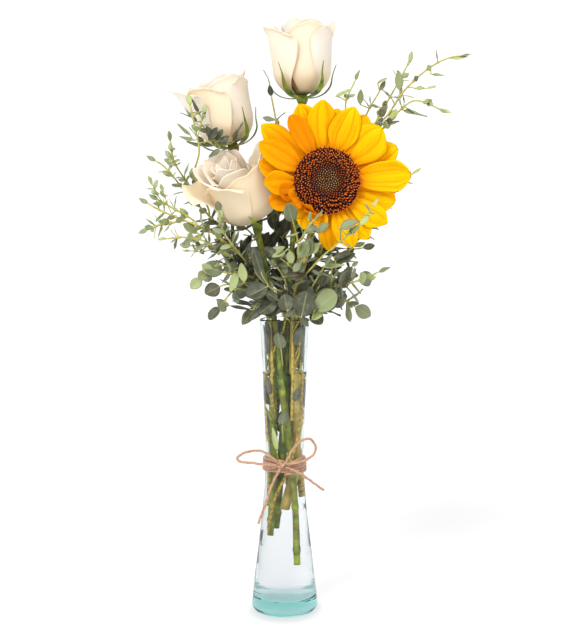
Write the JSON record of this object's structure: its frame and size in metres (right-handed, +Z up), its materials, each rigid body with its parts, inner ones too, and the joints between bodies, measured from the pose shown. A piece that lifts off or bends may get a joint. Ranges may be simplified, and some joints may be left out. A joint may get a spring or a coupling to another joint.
{
  "type": "sunflower and rose bouquet in a bud vase",
  "caption": "Clear hourglass bud vase tied with jute twine, holding a sunflower, cream roses and eucalyptus in water.",
  "frame": {"origin": "centre of the vase's foot, on the surface that it stands on", "axes": "+Z up, -Y towards the viewer, whom the sunflower faces, +X to the viewer's right"},
  "size_m": [0.2521, 0.1189, 0.4593],
  "materials": {
    "glass": "clear, faintly teal, wavy recycled glass",
    "water": "clear water with a flat top",
    "twine": "twisted, hairy natural jute",
    "petal_cream": "soft, satin cream petals, blush at the rims",
    "petal_yellow": "satin golden yellow, orange at the roots, ribbed",
    "disc": "matt dark brown florets with orange tips",
    "stem_green": "satin leaf green, faintly ribbed",
    "eucalyptus": "matt grey-green with a pale bloom"
  },
  "bodies": {
    "root": {"eucalyptus_back": "eucalyptus", "eucalyptus_back_right": "eucalyptus", "eucalyptus_front": "eucalyptus", "eucalyptus_left": "eucalyptus", "eucalyptus_low_right": "eucalyptus", "eucalyptus_right": "eucalyptus", "eucalyptus_upper_left": "eucalyptus", "rose_back_bloom": "petal_cream", "rose_back_stem": "stem_green", "rose_open_bloom": "petal_cream", "rose_open_stem": "stem_green", "rose_top_bloom": "petal_cream", "rose_top_stem": "stem_green", "sunflower_disc": "disc", "sunflower_petals": "petal_yellow", "sunflower_stem": "stem_green", "twine_loop_left": "twine", "twine_loop_right": "twine", "twine_tail_left": "twine", "twine_tail_right": "twine", "twine_wrap": "twine", "vase": "glass", "water": "water"}
  },
  "joints": []
}
